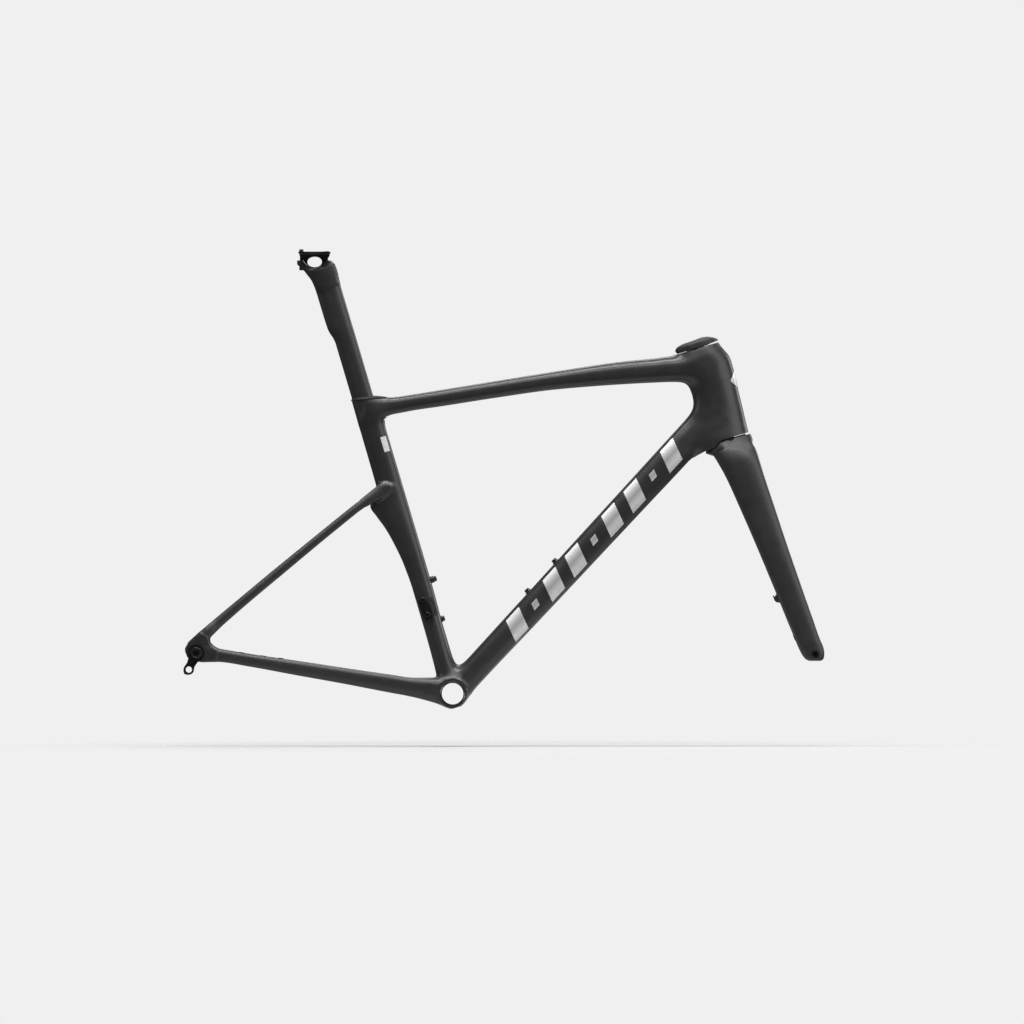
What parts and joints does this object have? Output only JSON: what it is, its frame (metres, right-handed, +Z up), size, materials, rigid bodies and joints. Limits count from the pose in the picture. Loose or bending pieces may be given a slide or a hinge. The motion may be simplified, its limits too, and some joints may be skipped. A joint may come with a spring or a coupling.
{
  "type": "bicycle frame",
  "caption": "Road bicycle frameset in satin black carbon: frame with dropped seatstays, disc fork, aero seatpost with saddle clamp.",
  "frame": {"origin": "centre of the bottom bracket, midway along its bore", "axes": "+X forward towards the fork, +Y to the rider's left, +Z up; the drive side faces -Y"},
  "size_m": [1.0136, 0.1686, 0.7269],
  "materials": {
    "carbon": "satin",
    "black_metal": "satin",
    "bare_metal": "satin",
    "steel": "satin",
    "rubber": "matte",
    "plastic": "satin"
  },
  "bodies": {
    "frame": {"bottom_bracket_shell": "carbon", "bottom_bracket_sleeve": "bare_metal", "brake_hose_grommet": "rubber", "chainstay_brake_insert_1": "bare_metal", "chainstay_brake_insert_2": "bare_metal", "derailleur_hanger": "black_metal", "down_tube": "carbon", "down_tube_bolt_1": "black_metal", "down_tube_bolt_2": "black_metal", "down_tube_insert_1": "steel", "down_tube_insert_2": "steel", "front_derailleur_bolt_1": "steel", "front_derailleur_bolt_2": "steel", "front_derailleur_mount": "black_metal", "hanger_nut": "black_metal", "head_tube": "carbon", "headset_cover": "plastic", "left_chainstay": "carbon", "left_dropout": "carbon", "left_seatstay": "carbon", "lower_headset_bearing": "steel", "rear_wire_grommet": "rubber", "right_chainstay": "carbon", "right_dropout": "carbon", "right_seatstay": "carbon", "seat_cluster_cover": "rubber", "seat_tube": "carbon", "seat_tube_bolt_1": "black_metal", "seat_tube_bolt_2": "black_metal", "seat_tube_insert_1": "steel", "seat_tube_insert_2": "steel", "seatpost_wedge": "bare_metal", "top_tube": "carbon", "upper_headset_bearing": "steel", "wedge_bolt": "steel", "wire_port_grommet": "rubber"},
    "fork": {"fork_crown": "carbon", "fork_steerer": "carbon", "right_fork_leg": "carbon", "left_fork_leg": "carbon", "crown_race": "steel", "compression_ring": "bare_metal", "expander_plug": "bare_metal", "expander_bolt": "steel", "fork_brake_insert_1": "bare_metal", "fork_brake_insert_2": "bare_metal"},
    "front_axle": {"front_thru_axle": "black_metal"},
    "rear_axle": {"rear_thru_axle": "black_metal"},
    "seatpost": {"seatpost": "carbon"},
    "saddle_clamp": {"lower_cradle": "black_metal", "rail_clamp": "black_metal", "clamp_bolt_rear": "steel", "clamp_bolt_front": "steel", "clamp_nut_rear": "steel", "clamp_nut_front": "steel"}
  },
  "joints": [
    {"name": "fork_steer", "type": "hinge", "parent": "frame", "child": "fork", "pos_m": [0.40592, 0, 0.47484], "axis": [-0.284, 0, 0.9588], "range_deg": [-45, 45]},
    {"name": "front_axle_slide", "type": "slide", "parent": "fork", "child": "front_axle", "axis": [0, 1, 0], "range_m": [0, 0.12]},
    {"name": "rear_axle_slide", "type": "slide", "parent": "frame", "child": "rear_axle", "axis": [0, 1, 0], "range_m": [0, 0.16]},
    {"name": "seatpost_height", "type": "slide", "parent": "frame", "child": "seatpost", "axis": [-0.284, 0, 0.9588], "range_m": [-0.05, 0.02]},
    {"name": "saddle_tilt", "type": "hinge", "parent": "seatpost", "child": "saddle_clamp", "pos_m": [-0.2185, 0, 0.697], "axis": [0, 1, 0], "range_deg": [-6, 6]}
  ]
}
